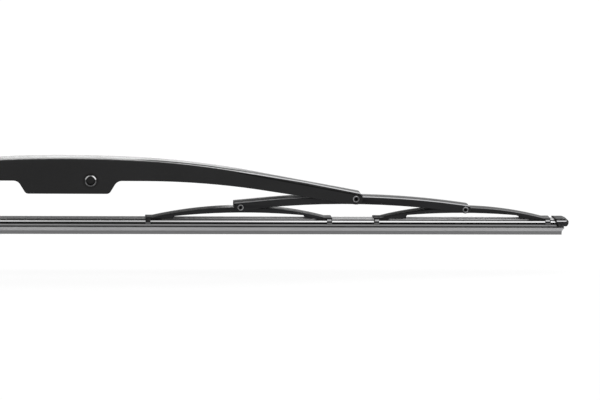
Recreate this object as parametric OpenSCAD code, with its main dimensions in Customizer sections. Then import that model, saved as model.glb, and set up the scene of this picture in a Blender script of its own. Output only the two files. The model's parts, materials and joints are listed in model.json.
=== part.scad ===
// Bracket wiper blade for a large windscreen, 650 mm long, with eight claws
// Lengths are in millimetres. X runs along the blade, Z away from the glass
// The origin is on the axis of the arm pin, in the middle plane of the blade

/* [Main bridge] */
// Height of the bridge's crown over the wiping edge
crown_z = 50.6; // [46:0.1:56]
// Outside width of the bridge channel
bridge_w = 13; // [12.9:0.1:16]
// Sheet thickness of the bridge
bridge_t = 1.0; // [0.8:0.1:1.1]
// Outside radius of the bridge's folded edges
bridge_fold_r = 1.2; // [1.2:0.1:2.5]
// Radius of the bridge's back over its middle
crown_r = 900; // [700:10:1500]
// Half length of the middle arc
crown_half = 45; // [30:1:60]
// Radius of the bridge's back over its shoulders
shoulder_r = 555; // [520:5:700]
// Angle at which the back runs straight to the ends
bridge_slope = 10.5; // [9:0.1:11]
// Radius of the round ears at the bridge's ends
bridge_ear_r = 3.6; // [3.3:0.1:4]
// Length by which the bridge's ears run on past the main pivots
bridge_ear_out = 0.9; // [0:0.1:1.5]
// Height of the bridge's lower edge over the wiping edge, beside the skirt
bridge_low_z = 36.45; // [34:0.1:39]
// Half length of the straight part of the lower edge
low_flat_half = 48; // [40:1:60]
// Radius of the lower edge beyond its straight part
low_r = 510; // [450:10:600]

/* [Arm skirt and pin] */
// Height of the skirt's lower edge over the wiping edge
skirt_z = 28.0; // [26:0.1:31]
// Half length of the skirt along its lower edge
skirt_half = 26.4; // [22:0.1:29]
// Length along the blade that each sloping end of the skirt takes
skirt_slope = 5; // [3:0.1:8]
// Radius of the skirt's lower corners
skirt_corner_r = 3; // [1:0.1:4]
// Radius where the skirt runs into the lower edge
skirt_fillet_r = 5; // [2:0.1:6]
// Distance of the arm pin from the middle of the blade
pin_x = 14.5; // [0:0.1:16]
// Height of the arm pin over the wiping edge
pin_z = 36.6; // [35:0.1:39]
// Radius of the arm pin
pin_r = 2.8; // [2:0.1:3]
// Radius of the arm pin's heads
pin_head_r = 3.8; // [3.4:0.05:4.2]
// Thickness of the arm pin's heads
pin_head_t = 0.9; // [0.6:0.1:1.2]
// Width of the rolled ring at the arm pin's front end
pin_ring_t = 0.95; // [0.8:0.05:1.1]
// Depth of the recess inside that ring
pin_recess = 1.2; // [1:0.1:2]

/* [Secondary levers] */
// Distance of a main pivot from the middle of the blade
main_x = 184.5; // [180:0.5:190]
// Height of the main pivots over the wiping edge
main_z = 25.05; // [24.6:0.05:25.2]
// Distance from a main pivot in to the inner yoke's pivot
lever_in = 74.1; // [72:0.1:76]
// Distance from a main pivot out to the outer yoke's pivot
lever_out = 71.7; // [69:0.1:72]
// Outside width of the secondary levers
lever_w = 10.4; // [10.3:0.05:10.5]
// Sheet thickness of the secondary levers
lever_t = 0.8; // [0.6:0.05:0.9]
// Outside radius of the secondary levers' folded edges
lever_fold_r = 1.0; // [0.95:0.05:1.4]
// Height of a secondary lever's back over the wiping edge, at its crown
lever_z = 26.15; // [26.1:0.05:26.5]
// Distance from a main pivot in to the crown of its secondary lever
lever_crown_in = 7; // [5:0.1:9]
// Radius of the lever's back on the inner side of its crown
lever_in_r = 520; // [500:5:560]
// Radius of the lever's back on the outer side of its crown
lever_out_r = 560; // [555:5:600]
// Distance from the lever's crown in to where its back runs straight
lever_arc_in = 52; // [46:0.5:58]
// Height of a secondary lever's walls
lever_h = 4.7; // [4.4:0.1:5.2]
// Radius of the round ears at the secondary lever's ends
lever_ear_r = 2.5; // [2.3:0.05:2.8]
// Length by which the inner ear runs on past its pivot
lever_ear_in = 1.5; // [0:0.1:2]
// Length by which the outer ear runs on past its pivot
lever_ear_out = 1.2; // [0:0.1:2]

/* [Yokes] */
// Height of the inner yokes' pivots over the wiping edge
inner_z = 19.0; // [18.8:0.05:19.2]
// Height of the outer yokes' pivots over the wiping edge
outer_z = 17.85; // [17.7:0.05:18]
// Distance from an inner yoke's pivot in to its claw
inner_arm_in = 59.1; // [56:0.1:62]
// Distance from an inner yoke's pivot out to its claw
inner_arm_out = 57.8; // [55:0.1:61]
// Distance from an outer yoke's pivot in to its claw
outer_arm_in = 57.5; // [55:0.1:61]
// Distance from an outer yoke's pivot out to its claw
outer_arm_out = 54.8; // [52:0.1:56]
// Height of an inner yoke's back over the wiping edge, at its crown
inner_crown_z = 18.75; // [18.4:0.05:18.9]
// Height of an outer yoke's back over the wiping edge, at its crown
outer_crown_z = 18.85; // [18.4:0.05:18.9]
// Offset of an inner yoke's crown from its pivot, towards the tip
inner_crown_dx = 3; // [-4:0.5:4]
// Offset of an outer yoke's crown from its pivot, towards the tip
outer_crown_dx = -2; // [-4:0.5:4]
// Outside width of the yokes
yoke_w = 8; // [7.8:0.05:8.1]
// Sheet thickness of the yokes
yoke_t = 0.8; // [0.6:0.05:0.8]
// Outside radius of the yokes' folded edges
yoke_fold_r = 0.95; // [0.85:0.05:1.3]
// Height of a yoke's walls at its crown
yoke_h = 3.4; // [3:0.1:4]
// Radius of the lower edge of a yoke's walls
yoke_low_r = 420; // [380:10:600]
// Length of the deeper wall beside each claw of an inner yoke
inner_wall_len = 17; // [12:0.5:20]
// Length of the deeper wall beside each claw of an outer yoke
outer_wall_len = 19.8; // [12:0.1:22]
// Length of a claw's finger along the blade
claw_len = 3.1; // [2.5:0.1:4]

/* [Pivots] */
// Radius of the main rivets' shanks
main_rivet_r = 1.3; // [1.1:0.05:1.35]
// Radius of the main rivets' heads
main_head_r = 2.15; // [1.9:0.05:2.3]
// Radius of the yoke rivets' shanks
yoke_rivet_r = 1.0; // [0.8:0.05:1.02]
// Radius of the yoke rivets' heads
yoke_head_r = 1.95; // [1.7:0.05:2]
// Height of the rivet heads
head_t = 0.55; // [0.4:0.05:0.7]
// Radius of the hollow in a main rivet's rolled end
main_hollow_r = 0.9; // [0.7:0.05:1]
// Radius of the hollow in a yoke rivet's rolled end
yoke_hollow_r = 0.75; // [0.5:0.05:0.75]
// Depth of the hollow in a rivet
hollow_len = 2.5; // [1:0.1:4]
// Wall of the nylon bush round a main rivet
main_bush_t = 0.45; // [0.35:0.05:0.5]
// Wall of the nylon bush round a yoke rivet
yoke_bush_t = 0.3; // [0.25:0.05:0.32]
// Running clearance of a rivet in its bush, on the radius
run_gap = 0.05; // [0.03:0.01:0.08]

/* [Squeegee] */
// Height of the rubber from its wiping edge to the top of its head
rubber_h = 11.0; // [10.9:0.05:11.1]
// Half width of the rubber's head
head_half = 3.4; // [3:0.05:3.45]
// Thickness of the rubber's head
head_h = 0.85; // [0.7:0.05:0.9]
// Half width of the web between the two strips
web_half = 1.3; // [1:0.05:1.5]
// Half width of the rubber's flange under the claws
flange_half = 4.0; // [3.5:0.05:4.3]
// Thickness of the flange
flange_h = 1.15; // [0.9:0.05:1.2]
// Half width of the rubber's tapered body at its shoulders
body_half = 2.8; // [2.4:0.05:3.2]
// Height of the body's shoulders over the wiping edge
body_z = 5.5; // [5:0.1:5.7]
// Height at which the body runs into the wiping lip
lip_z = 2.35; // [1.8:0.05:3]
// Thickness of the wiping lip
lip_t = 0.9; // [0.6:0.05:1.2]
// Half width of the neck on which the lip turns over
neck_half = 0.75; // [0.5:0.05:1]
// Half width over the two steel strips
strip_half = 4.4; // [4.1:0.05:4.5]
// Thickness of the steel strips
strip_t = 1.0; // [0.8:0.05:1]
// Distance from the blade's tip in to the ends of the steel strips
strip_inset = 4; // [3:0.1:6]
// Distance from the blade's tip in to the ends of the rubber
rubber_inset = 1.7; // [1.4:0.1:3]
// Radius of the hollow cut in each end of the rubber
end_cut_r = 8.8; // [7:0.1:12]
// Depth of that cut
end_cut_in = 1.7; // [1:0.1:2]
// Height of the cut's deepest point over the wiping edge
end_cut_z = 1.2; // [0:0.1:2]

/* [End caps] */
// Half length of the whole blade, to the tip of an end cap
half_len = 325; // [324.7:0.1:327]
// Length of an end cap along its top
cap_len = 10; // [9:0.1:10.5]
// Length by which an end cap's lower edge is shorter than its top
cap_rake = 2; // [0:0.1:3]
// Half width of an end cap
cap_half = 5.3; // [5.2:0.05:5.6]
// Half width of the raised top of an end cap
cap_top_half = 4.4; // [4.35:0.05:4.7]
// Height of an end cap's lower edge over the wiping edge
cap_low_z = 6.75; // [6.6:0.05:7]
// Height of an end cap's top over the wiping edge
cap_z = 11.75; // [11.7:0.05:12.2]
// Height of the foot of the sloping ledge along an end cap's sides
cap_ledge_z = 10.1; // [10.05:0.05:10.4]
// Height of the ledge's top
cap_ledge_top_z = 11.0; // [10.95:0.05:11.2]

/* [Clearances] */
// Gap between a claw or a cap and what it holds
claw_gap = 0.15; // [0.1:0.01:0.2]
// Gap round the nylon bushes and rivets where they are fixed
fix_gap = 0.02; // [0.01:0.01:0.03]

/* [Hidden] */
$fn = 64;
SIDES = ["left", "right"];

// Distance that a cutting solid runs past what it cuts, and a swept channel past its cut ends
past = 5;
spare = 1;
// Length of a bore's cutting cylinder, across the whole blade
bore_len = 30;
// Height to which the side outlines reach over the sheet
over_z = crown_z + past;
// Steps in which an outline follows a long edge and a corner
edge_steps = 10;
corner_steps = 6;
// Steps of a folded edge, and stations along the backs of the levers
fold_steps = 4;
bridge_stations = 40;
lever_stations = 20;
yoke_stations = 10;
// Angles round an ear at which its outline leaves for the back of the channel, and joins its two arcs
ear_top_angle = 55;
ear_low_angle = -60;
// Angle by which the bridge's lower edge ends flatter than its back
low_flatter = 1.5;
// Shares of a plain rivet head: its flat middle of its radius, and its rim of its height
head_flat_share = 0.6;
head_rim_share = 1 / 3;

inner_x = main_x - lever_in;
outer_x = main_x + lever_out;
lever_crown_x = main_x - lever_crown_in;

// The bridge's back: the centre of its shoulder arc, and where that arc ends
crown_angle = asin(crown_half / crown_r);
shoulder_centre = [crown_half - shoulder_r * sin(crown_angle),
                   crown_z - crown_r + (crown_r - shoulder_r) * cos(crown_angle)];
shoulder_end = shoulder_centre + shoulder_r * [sin(bridge_slope), cos(bridge_slope)];

// Bushes: the rivet, its running clearance and the wall
main_bush_r = main_rivet_r + run_gap + main_bush_t;
yoke_bush_r = yoke_rivet_r + run_gap + yoke_bush_t;
// Ring of sheet left round each bush, and the gap between the lever's web and its ends
ring_t = 0.45;
window_gap = 0.8;

// Half lengths of the strips and the rubber, and heights of the squeegee's parts
strip_end = half_len - strip_inset;
rubber_end = half_len - rubber_inset;
strip_play = 0.05;
strip_top = rubber_h - head_h - strip_play;
strip_low = strip_top - strip_t;
strip_in = web_half + 2 * strip_play;
hook_t = 0.85;
hook_top = strip_low - claw_gap;
hook_low = hook_top - hook_t;
flange_top = hook_low - claw_gap;
flange_low = flange_top - flange_h;
// Claws: inner face beside the strips, tip of the hook, and the web over the head
claw_in = strip_half + claw_gap;
claw_out = claw_in + yoke_t;
hook_tip = head_half - 0.1;
claw_web_gap = 0.25;
claw_web_z = rubber_h + claw_web_gap + yoke_t;
// Height of the lower edge of a yoke's walls at its claws, and its rise along the deeper wall
claw_wall_z = claw_web_z - yoke_t + 0.05;
claw_wall_rise = 0.4;
claw_wall_run = 1;
// Height at which a claw's sloping shoulder reaches its finger
shoulder_z = strip_top + 0.1;
// Distance by which a claw's shoulder starts in from the yoke's side, and down from its back
shoulder_start = [0.4, 0.2];
// Overlap of a claw with the yoke's walls, and the ease of its lower corners
claw_lap = 0.05;
claw_ease = 0.3;
// Length of the level back over a claw, inwards of its middle
claw_flat = 3.0;

// Section of the rubber: draft of its lip, straight side of its body, slopes at the neck, eased corners
lip_draft = 0.1;
body_side = 0.5;
neck_slope = 0.15;
flange_ease = 0.3;
head_ease = 0.25;

// Section of an end cap: eased lower corners, and rounding of its ledge and of its top edge
cap_ease = 0.4;
cap_ledge_r = 0.25;
cap_top_r = 0.7;
// Outline of a cap's tip from the side, each as a length in from the tip and a height: heel and chin over
// its lower edge, brow over the ledge's foot, and the slope's top over the cap's top
cap_heel = [1.8, 0];
cap_chin = [0.3, 1];
// Heights between which the tip is upright: over the lower edge, and over the ledge's foot
cap_nose = [1.6, -0.4];
cap_brow = [0.6, 0.5];
cap_slope_top = [3, -0.15];
cap_slope_out = 4.2;
// Outline of a cap's tip from above: lengths in from the tip and in from the side
cap_plan = [[2.4, 0], [0.8, 0.7], [0, 2]];

// Geometry helpers

// Points along an arc, its angles in degrees from +X
function arc_points(centre, r, from, to, steps) =
    [for (i = [0:steps]) let (a = from + (to - from) * i / steps) centre + r * [cos(a), sin(a)]];

function unit(v) = v / norm(v);
function turn_of(v) = atan2(v[1], v[0]);
function short_way(a) = a > 180 ? a - 360 : (a < -180 ? a + 360 : a);

// Corner b of the path a, b, c, rounded to radius r
function rounded(a, b, c, r) =
    let (u = unit(a - b), v = unit(c - b), half = acos(u * v) / 2,
         centre = b + unit(u + v) * r / sin(half),
         from = turn_of(b + u * r / tan(half) - centre),
         to = turn_of(b + v * r / tan(half) - centre))
    arc_points(centre, r, from, from + short_way(to - from), corner_steps);

// Angle round a circle at which a line from p touches it, on the side given by 1 or -1
function touch_angle(p, centre, r, side) =
    turn_of(p - centre) + side * acos(r / norm(p - centre));

// Height of an arc of radius r over its centre, at distance dx from it
function arc_height(r, dx) = sqrt(r * r - dx * dx);

// A half outline and its mirror image, as one closed outline
function both_halves(points) = concat(points, [for (i = [len(points) - 1:-1:0])
    if (points[i][0] > 0) [-points[i][0], points[i][1]]]);

function flipped(points) = [for (i = [len(points) - 1:-1:0]) [-points[i][0], points[i][1]]];
function negated(points) = [for (p = points) [-p[0], p[1]]];

// Section of a folded sheet channel, open below: Y, and depth under its back
function channel_loop(w, depth, t, r) =
    let (fold = [for (i = [0:fold_steps]) let (a = 90 * i / fold_steps) [cos(a), 1 - sin(a)]],
         outer = concat([[w / 2, depth]], [for (f = fold) [w / 2 - r + r * f[0], r * f[1]]]),
         inner = concat([[w / 2 - t, depth]],
                        [for (f = fold) [w / 2 - r + (r - t) * f[0], t + (r - t) * f[1]]]))
    concat(outer, flipped(outer), negated(inner), flipped(negated(inner)));

// Channel swept through the stations of its back, each given as X and Z
module swept_channel(stations, w, depth, t, r) {
    loop = channel_loop(w, depth, t, r);
    n = len(loop);
    last = len(stations) - 1;
    polyhedron(
        [for (s = stations) for (p = loop) [s[0], p[0], s[1] - p[1]]],
        concat([for (k = [0:n / 2 - 2]) [k, k + 1, n - 2 - k, n - 1 - k]],
               [for (i = [0:last - 1]) for (j = [0:n - 1]) let (k = (j + 1) % n)
                   [i * n + j, (i + 1) * n + j, (i + 1) * n + k, i * n + k]],
               [for (k = [0:n / 2 - 2]) [n - 1 - k, n - 2 - k, k + 1, k] + last * n * [1, 1, 1, 1]]));
}

module side_plate(width) rotate([90, 0, 0]) linear_extrude(width, center = true) children();

module cross_hole(x, z, r) translate([x, 0, z]) rotate([90, 0, 0]) cylinder(r = r, h = bore_len, center = true);

// Places a part of one side: the left half is the right one mirrored
module on_side(side) translate([-pin_x, 0, -pin_z]) {
    if (side == "left") mirror([1, 0, 0]) children();
    else children();
}

module in_frame() translate([-pin_x, 0, -pin_z]) children();

// Main bridge

// Height of the bridge's back
function bridge_back(x) = abs(x) < crown_half ? crown_z - crown_r + arc_height(crown_r, x)
    : abs(x) < shoulder_end[0] ? shoulder_centre[1] + arc_height(shoulder_r, abs(x) - shoulder_centre[0])
    : shoulder_end[1] - (abs(x) - shoulder_end[0]) * tan(bridge_slope);

// Lower edge of the right half, from the middle of the skirt to the ear
function bridge_lower() =
    let (mid = [0, skirt_z], low = [skirt_half, skirt_z],
         high = [skirt_half + skirt_slope, bridge_low_z], flat = [low_flat_half, bridge_low_z],
         centre = flat - [0, low_r], low_slope = bridge_slope - low_flatter,
         last = centre + low_r * [sin(low_slope), cos(low_slope)],
         ear = [main_x, main_z], from = short_way(touch_angle(last, ear, bridge_ear_r, 1)))
    concat([mid], rounded(mid, low, high, skirt_corner_r), rounded(low, high, flat, skirt_fillet_r),
           arc_points(centre, low_r, 90, 90 - low_slope, edge_steps),
           arc_points(ear, bridge_ear_r, from, -90, corner_steps),
           arc_points(ear + [bridge_ear_out, 0], bridge_ear_r, -90, ear_top_angle, corner_steps));

module bridge_outline() {
    lower = bridge_lower();
    tip = lower[len(lower) - 1];
    top = tip + past * [-sin(ear_top_angle), cos(ear_top_angle)];
    polygon(both_halves(concat(lower, [top, [top[0], over_z]])));
}

module main_bridge() color([0.10, 0.10, 0.11]) in_frame() {
    reach = main_x + bridge_ear_out + bridge_ear_r + spare;
    difference() {
        intersection() {
            swept_channel([for (i = [-bridge_stations / 2:bridge_stations / 2])
                let (x = 2 * reach * i / bridge_stations) [x, bridge_back(x)]],
                bridge_w, crown_z - skirt_z + past, bridge_t, bridge_fold_r);
            side_plate(bridge_w + past) bridge_outline();
        }
        cross_hole(pin_x, pin_z, pin_r + fix_gap);
        for (s = [-1, 1]) cross_hole(s * main_x, main_z, main_rivet_r + fix_gap);
    }
}

// Rivets and bushes, turned about their own axis

// Rolled end of a semi-tubular rivet, from its seat outwards
function rolled_end(r, hollow_r, t) =
    let (mid = (r + hollow_r) / 2, half = (r - hollow_r) / 2, rim = t * head_rim_share)
    concat([[r, 0]], [for (i = [0:corner_steps]) let (a = 180 * i / corner_steps)
        [mid + half * cos(a), rim + (t - rim) * sin(a)]]);

// Rivet across a channel of width w, rolled end at the front (-Y), plain head behind
module rivet(w, shank_r, head_r, hollow_r, depth, t) rotate([90, 0, 0]) rotate_extrude() polygon(concat(
    [[0, -w / 2 - t], [head_r * head_flat_share, -w / 2 - t], [head_r, -w / 2 - t * head_rim_share],
     [head_r, -w / 2], [shank_r, -w / 2], [shank_r, w / 2]],
    [for (p = rolled_end(head_r, hollow_r, t)) p + [0, w / 2]],
    [[hollow_r, w / 2 - depth], [0, w / 2 - depth]]));

module bush(w, r_in, r_out) rotate([90, 0, 0]) difference() {
    cylinder(r = r_out, h = w, center = true);
    cylinder(r = r_in, h = w + past, center = true);
}

module arm_pin() color([0.55, 0.55, 0.57]) in_frame() translate([pin_x, 0, pin_z])
    rivet(bridge_w, pin_r, pin_head_r, pin_head_r - pin_ring_t, pin_recess, pin_head_t);

module main_rivet(side) color([0.60, 0.60, 0.62]) on_side(side) translate([main_x, 0, main_z])
    rivet(bridge_w, main_rivet_r, main_head_r, main_hollow_r, hollow_len, head_t);

module main_bush(side) color([0.16, 0.16, 0.17]) on_side(side) translate([main_x, 0, main_z])
    bush(lever_w, main_rivet_r + run_gap, main_bush_r);

module yoke_rivet(side, x, z) color([0.60, 0.60, 0.62]) on_side(side) translate([x, 0, z])
    rivet(lever_w, yoke_rivet_r, yoke_head_r, yoke_hollow_r, hollow_len, head_t);

module yoke_bush(side, x, z) color([0.16, 0.16, 0.17]) on_side(side) translate([x, 0, z])
    bush(yoke_w, yoke_rivet_r + run_gap, yoke_bush_r);

// Raised round ears of an inner lever about its pivot, one on each wall
module raised_ears(x, z, w, t, r) for (s = [-1, 1])
    translate([x, s * (w - t) / 2, z]) rotate([90, 0, 0]) cylinder(r = r, h = t, center = true);

// Window in the web between the raised ears, and the bush's bore through them
module pivot_cut(x, z, w, t, r) {
    translate([x - r - window_gap, t - w / 2, z - r]) cube([2 * (r + window_gap), w - 2 * t, 2 * r + past]);
    cross_hole(x, z, r + fix_gap);
}

// Secondary levers

// Height of a secondary lever's back
function lever_back(x) =
    let (dx = x - lever_crown_x, slope = lever_arc_in / arc_height(lever_in_r, lever_arc_in))
    dx >= 0 ? lever_z - lever_out_r + arc_height(lever_out_r, dx)
    : dx > -lever_arc_in ? lever_z - lever_in_r + arc_height(lever_in_r, dx)
    : lever_z - lever_in_r + arc_height(lever_in_r, lever_arc_in) + (dx + lever_arc_in) * slope;

// Outline of the walls, from the inner end round below to the outer end
function lever_outline() =
    let (ear_in = [inner_x, inner_z], ear_in_end = ear_in - [lever_ear_in, 0],
         ear_out = [outer_x, outer_z], ear_out_end = ear_out + [lever_ear_out, 0],
         from = lever_crown_x - lever_arc_in, to = outer_x - lever_ear_r - spare,
         low = [for (i = [0:edge_steps]) let (x = from + (to - from) * i / edge_steps)
                [x, lever_back(x) - lever_h]],
         leave = touch_angle(low[0], ear_in, lever_ear_r, -1),
         meet = short_way(touch_angle(low[edge_steps], ear_out, lever_ear_r, 1)),
         tip = ear_out_end + lever_ear_r * [cos(ear_top_angle), sin(ear_top_angle)],
         tip_top = tip + past * [-sin(ear_top_angle), cos(ear_top_angle)])
    concat([[ear_in_end[0] - lever_ear_r, over_z]],
           arc_points(ear_in_end, lever_ear_r, -180, -90, corner_steps),
           arc_points(ear_in, lever_ear_r, -90, leave, corner_steps),
           low,
           arc_points(ear_out, lever_ear_r, meet, ear_low_angle, corner_steps),
           arc_points(ear_out_end, lever_ear_r, ear_low_angle, ear_top_angle, corner_steps),
           [tip_top, [tip_top[0], over_z]]);

module secondary_lever(side) color([0.12, 0.12, 0.13]) on_side(side) {
    from = inner_x - lever_ear_in - lever_ear_r - spare;
    to = outer_x + lever_ear_out + lever_ear_r + spare;
    difference() {
        union() {
            intersection() {
                swept_channel([for (i = [0:lever_stations])
                    let (x = from + (to - from) * i / lever_stations) [x, lever_back(x)]],
                    lever_w, lever_h + 2 * past, lever_t, lever_fold_r);
                side_plate(lever_w + past) polygon(lever_outline());
            }
            raised_ears(main_x, main_z, lever_w, lever_t, main_bush_r + ring_t);
        }
        pivot_cut(main_x, main_z, lever_w, lever_t, main_bush_r);
        for (p = [[inner_x, inner_z], [outer_x, outer_z]]) cross_hole(p[0], p[1], yoke_rivet_r + fix_gap);
    }
}

// Yokes, each with a claw at both ends

// Radius of the arc that falls by drop over length
function arc_radius(length, drop) = (length * length + drop * drop) / (2 * drop);

// Stations of one arm, from the crown out past its claw: distance and height
function arm_stations(reach, crown) =
    let (level = reach - claw_flat, r = arc_radius(level, crown - claw_web_z))
    concat([for (i = [0:yoke_stations]) let (d = level * i / yoke_stations) [d, crown - r + arc_height(r, d)]],
           [[reach + claw_len / 2 + spare, claw_web_z]]);

// Half section of a claw: shoulder over the rubber's head, finger beside the strip, hook under it
claw_half_points = [
    [yoke_w / 2 - yoke_fold_r, claw_web_z - shoulder_start[1] / 2],
    [yoke_w / 2 - shoulder_start[0], claw_web_z - shoulder_start[1]],
    [claw_out, shoulder_z], [claw_out, hook_low + claw_ease], [claw_out - claw_ease, hook_low],
    [hook_tip, hook_low], [hook_tip, hook_top], [claw_in, hook_top], [claw_in, shoulder_z],
    [yoke_w / 2 - yoke_t + claw_lap, claw_wall_z - claw_lap], [yoke_w / 2 - yoke_fold_r, claw_wall_z]];

module claw(x) translate([x - claw_len / 2, 0, 0]) rotate([90, 0, 90]) linear_extrude(claw_len) {
    polygon(claw_half_points);
    polygon(negated(claw_half_points));
}

module yoke(side, x, z, arm_in, arm_out, crown_dx, crown, wall_len) color([0.12, 0.12, 0.13]) on_side(side) {
    crown_x = x + crown_dx;
    left = x - arm_in;
    right = x + arm_out;
    in_arm = arm_stations(crown_x - left, crown);
    out_arm = arm_stations(right - crown_x, crown);
    low_centre = [crown_x, crown - yoke_h - yoke_low_r];
    step_in = asin((crown_x - left - wall_len) / yoke_low_r);
    step_out = asin((right - wall_len - crown_x) / yoke_low_r);
    difference() {
        union() {
            intersection() {
                swept_channel(concat([for (i = [len(in_arm) - 1:-1:1]) [crown_x - in_arm[i][0], in_arm[i][1]]],
                                     [for (a = out_arm) a + [crown_x, 0]]),
                              yoke_w, crown - hook_low, yoke_t, yoke_fold_r);
                side_plate(yoke_w + past) polygon(concat(
                    [[left - claw_len / 2, over_z], [left - claw_len / 2, claw_wall_z],
                     [left + wall_len - claw_wall_run, claw_wall_z + claw_wall_rise]],
                    arc_points(low_centre, yoke_low_r, 90 + step_in, 90 - step_out, edge_steps),
                    [[right - wall_len + claw_wall_run, claw_wall_z + claw_wall_rise],
                     [right + claw_len / 2, claw_wall_z], [right + claw_len / 2, over_z]]));
            }
            claw(left);
            claw(right);
            raised_ears(x, z, yoke_w, yoke_t, yoke_bush_r + ring_t);
        }
        pivot_cut(x, z, yoke_w, yoke_t, yoke_bush_r);
    }
}

// Squeegee

// Right half of the rubber's section, from its wiping edge to the top of its head
rubber_half_points = [
    [0, 0], [lip_t / 2, 0], [lip_t / 2 + lip_draft, lip_z], [body_half, body_z - body_side],
    [body_half, body_z],
    [neck_half, body_z + neck_slope], [neck_half, flange_low - neck_slope],
    [flange_half - flange_ease, flange_low], [flange_half, flange_low + flange_ease],
    [flange_half, flange_top], [web_half, flange_top],
    [web_half, rubber_h - head_h], [head_half, rubber_h - head_h], [head_half, rubber_h - head_ease],
    [head_half - head_ease, rubber_h], [0, rubber_h]];

module squeegee_rubber() color([0.30, 0.30, 0.31]) in_frame() difference() {
    rotate([90, 0, 90]) linear_extrude(2 * rubber_end, center = true)
        polygon(both_halves(rubber_half_points));
    for (s = [-1, 1]) cross_hole(s * (rubber_end + end_cut_r - end_cut_in), end_cut_z, end_cut_r);
}

module strip(y) color([0.78, 0.79, 0.80]) in_frame()
    translate([-strip_end, min(y * strip_in, y * strip_half), strip_low])
        cube([2 * strip_end, strip_half - strip_in, strip_t]);

// End caps

// Right half of a cap's section, outside, with its sloping ledge and rounded top edge
cap_ledge_foot = [cap_half, cap_ledge_z];
cap_ledge_head = [cap_top_half, cap_ledge_top_z];
cap_half_points = concat(
    [[0, cap_low_z], [cap_half - cap_ease, cap_low_z], [cap_half, cap_low_z + cap_ease]],
    rounded([cap_half, cap_low_z], cap_ledge_foot, cap_ledge_head, cap_ledge_r),
    rounded(cap_ledge_head, [cap_top_half, cap_z], [0, cap_z], cap_top_r),
    [[0, cap_z]]);

// Right half of its hollow, open below, with a lip that clips under the strip
cap_hollow_points = [
    [0, 0], [flange_half + claw_gap, 0], [flange_half + claw_gap, flange_top + claw_gap],
    [hook_tip, flange_top + claw_gap], [hook_tip, hook_top], [claw_in, hook_top],
    [claw_in, strip_top + claw_gap], [head_half + claw_gap, strip_top + claw_gap],
    [head_half + claw_gap, rubber_h - claw_gap], [head_half - claw_gap, rubber_h + claw_gap],
    [0, rubber_h + claw_gap]];

module cap_run(points, from, to) translate([from, 0, 0]) rotate([90, 0, 90]) linear_extrude(to - from)
    polygon(both_halves(points));

// A cap seen from the side, with its heel, chin, nose and the slope up to its top
function cap_side_points(start) = [
    [start + cap_rake, 0], [half_len - cap_heel[0], 0], [half_len - cap_heel[0], cap_low_z + cap_heel[1]],
    [half_len - cap_chin[0], cap_low_z + cap_chin[1]],
    [half_len, cap_low_z + cap_nose[0]], [half_len, cap_ledge_z + cap_nose[1]],
    [half_len - cap_brow[0], cap_ledge_z + cap_brow[1]],
    [half_len - cap_slope_top[0], cap_z + cap_slope_top[1]], [half_len - cap_slope_out, cap_z + past],
    [start, cap_z + past], [start, cap_z], [start + cap_rake, cap_low_z]];

// A cap seen from above, its tip rounded off in flats
function cap_plan_points(start) =
    let (tip = [for (p = cap_plan) [half_len - p[0], cap_half - p[1]]], wide = cap_half + past,
         last = len(tip) - 1)
    concat([[start, -wide], [start, wide], [tip[0][0], wide]], tip,
           [for (i = [last:-1:0]) [tip[i][0], -tip[i][1]]], [[tip[0][0], -wide]]);

module end_cap(side) color([0.10, 0.10, 0.10]) on_side(side) {
    start = half_len - cap_len;
    difference() {
        intersection() {
            cap_run(cap_half_points, start, half_len);
            side_plate(2 * cap_half + past) polygon(cap_side_points(start));
            linear_extrude(cap_z + past) polygon(cap_plan_points(start));
        }
        cap_run(cap_hollow_points, start - past, rubber_end + claw_gap);
    }
}

main_bridge();
arm_pin();
for (side = SIDES) {
    main_rivet(side);
    main_bush(side);
    secondary_lever(side);
    yoke_rivet(side, inner_x, inner_z);
    yoke_bush(side, inner_x, inner_z);
    yoke(side, inner_x, inner_z, inner_arm_in, inner_arm_out, inner_crown_dx, inner_crown_z,
             inner_wall_len);
    yoke_rivet(side, outer_x, outer_z);
    yoke_bush(side, outer_x, outer_z);
    yoke(side, outer_x, outer_z, outer_arm_in, outer_arm_out, outer_crown_dx, outer_crown_z,
             outer_wall_len);
    end_cap(side);
}
strip(-1);  // front_strip
strip(1);  // rear_strip
squeegee_rubber();
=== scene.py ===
"""Bracket wiper blade: black folded-steel levers, bright strips and a grey squeegee rubber, in a white studio."""
import json
import math

import bmesh
import bpy
from mathutils import Matrix, Vector


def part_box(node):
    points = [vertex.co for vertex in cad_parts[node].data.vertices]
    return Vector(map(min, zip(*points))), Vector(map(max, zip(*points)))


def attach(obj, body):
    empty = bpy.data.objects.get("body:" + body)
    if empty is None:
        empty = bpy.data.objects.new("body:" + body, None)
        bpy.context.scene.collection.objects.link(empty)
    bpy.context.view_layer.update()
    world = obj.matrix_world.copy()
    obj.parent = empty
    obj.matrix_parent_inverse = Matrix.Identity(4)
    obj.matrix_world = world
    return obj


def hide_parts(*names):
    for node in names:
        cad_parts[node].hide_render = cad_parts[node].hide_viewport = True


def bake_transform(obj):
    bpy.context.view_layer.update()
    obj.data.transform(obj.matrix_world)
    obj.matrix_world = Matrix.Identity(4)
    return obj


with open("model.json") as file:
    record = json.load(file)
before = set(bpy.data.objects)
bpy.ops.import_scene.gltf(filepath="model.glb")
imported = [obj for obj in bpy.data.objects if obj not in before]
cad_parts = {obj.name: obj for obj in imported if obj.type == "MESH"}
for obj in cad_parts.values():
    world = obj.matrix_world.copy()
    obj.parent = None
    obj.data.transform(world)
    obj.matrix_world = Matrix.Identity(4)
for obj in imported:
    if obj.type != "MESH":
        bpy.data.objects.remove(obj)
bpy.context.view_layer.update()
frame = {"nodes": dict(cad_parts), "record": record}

MM = 0.001
# Numbers of the frame's axes: along the blade, across it, and away from the glass
X, Y, Z = range(3)
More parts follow.
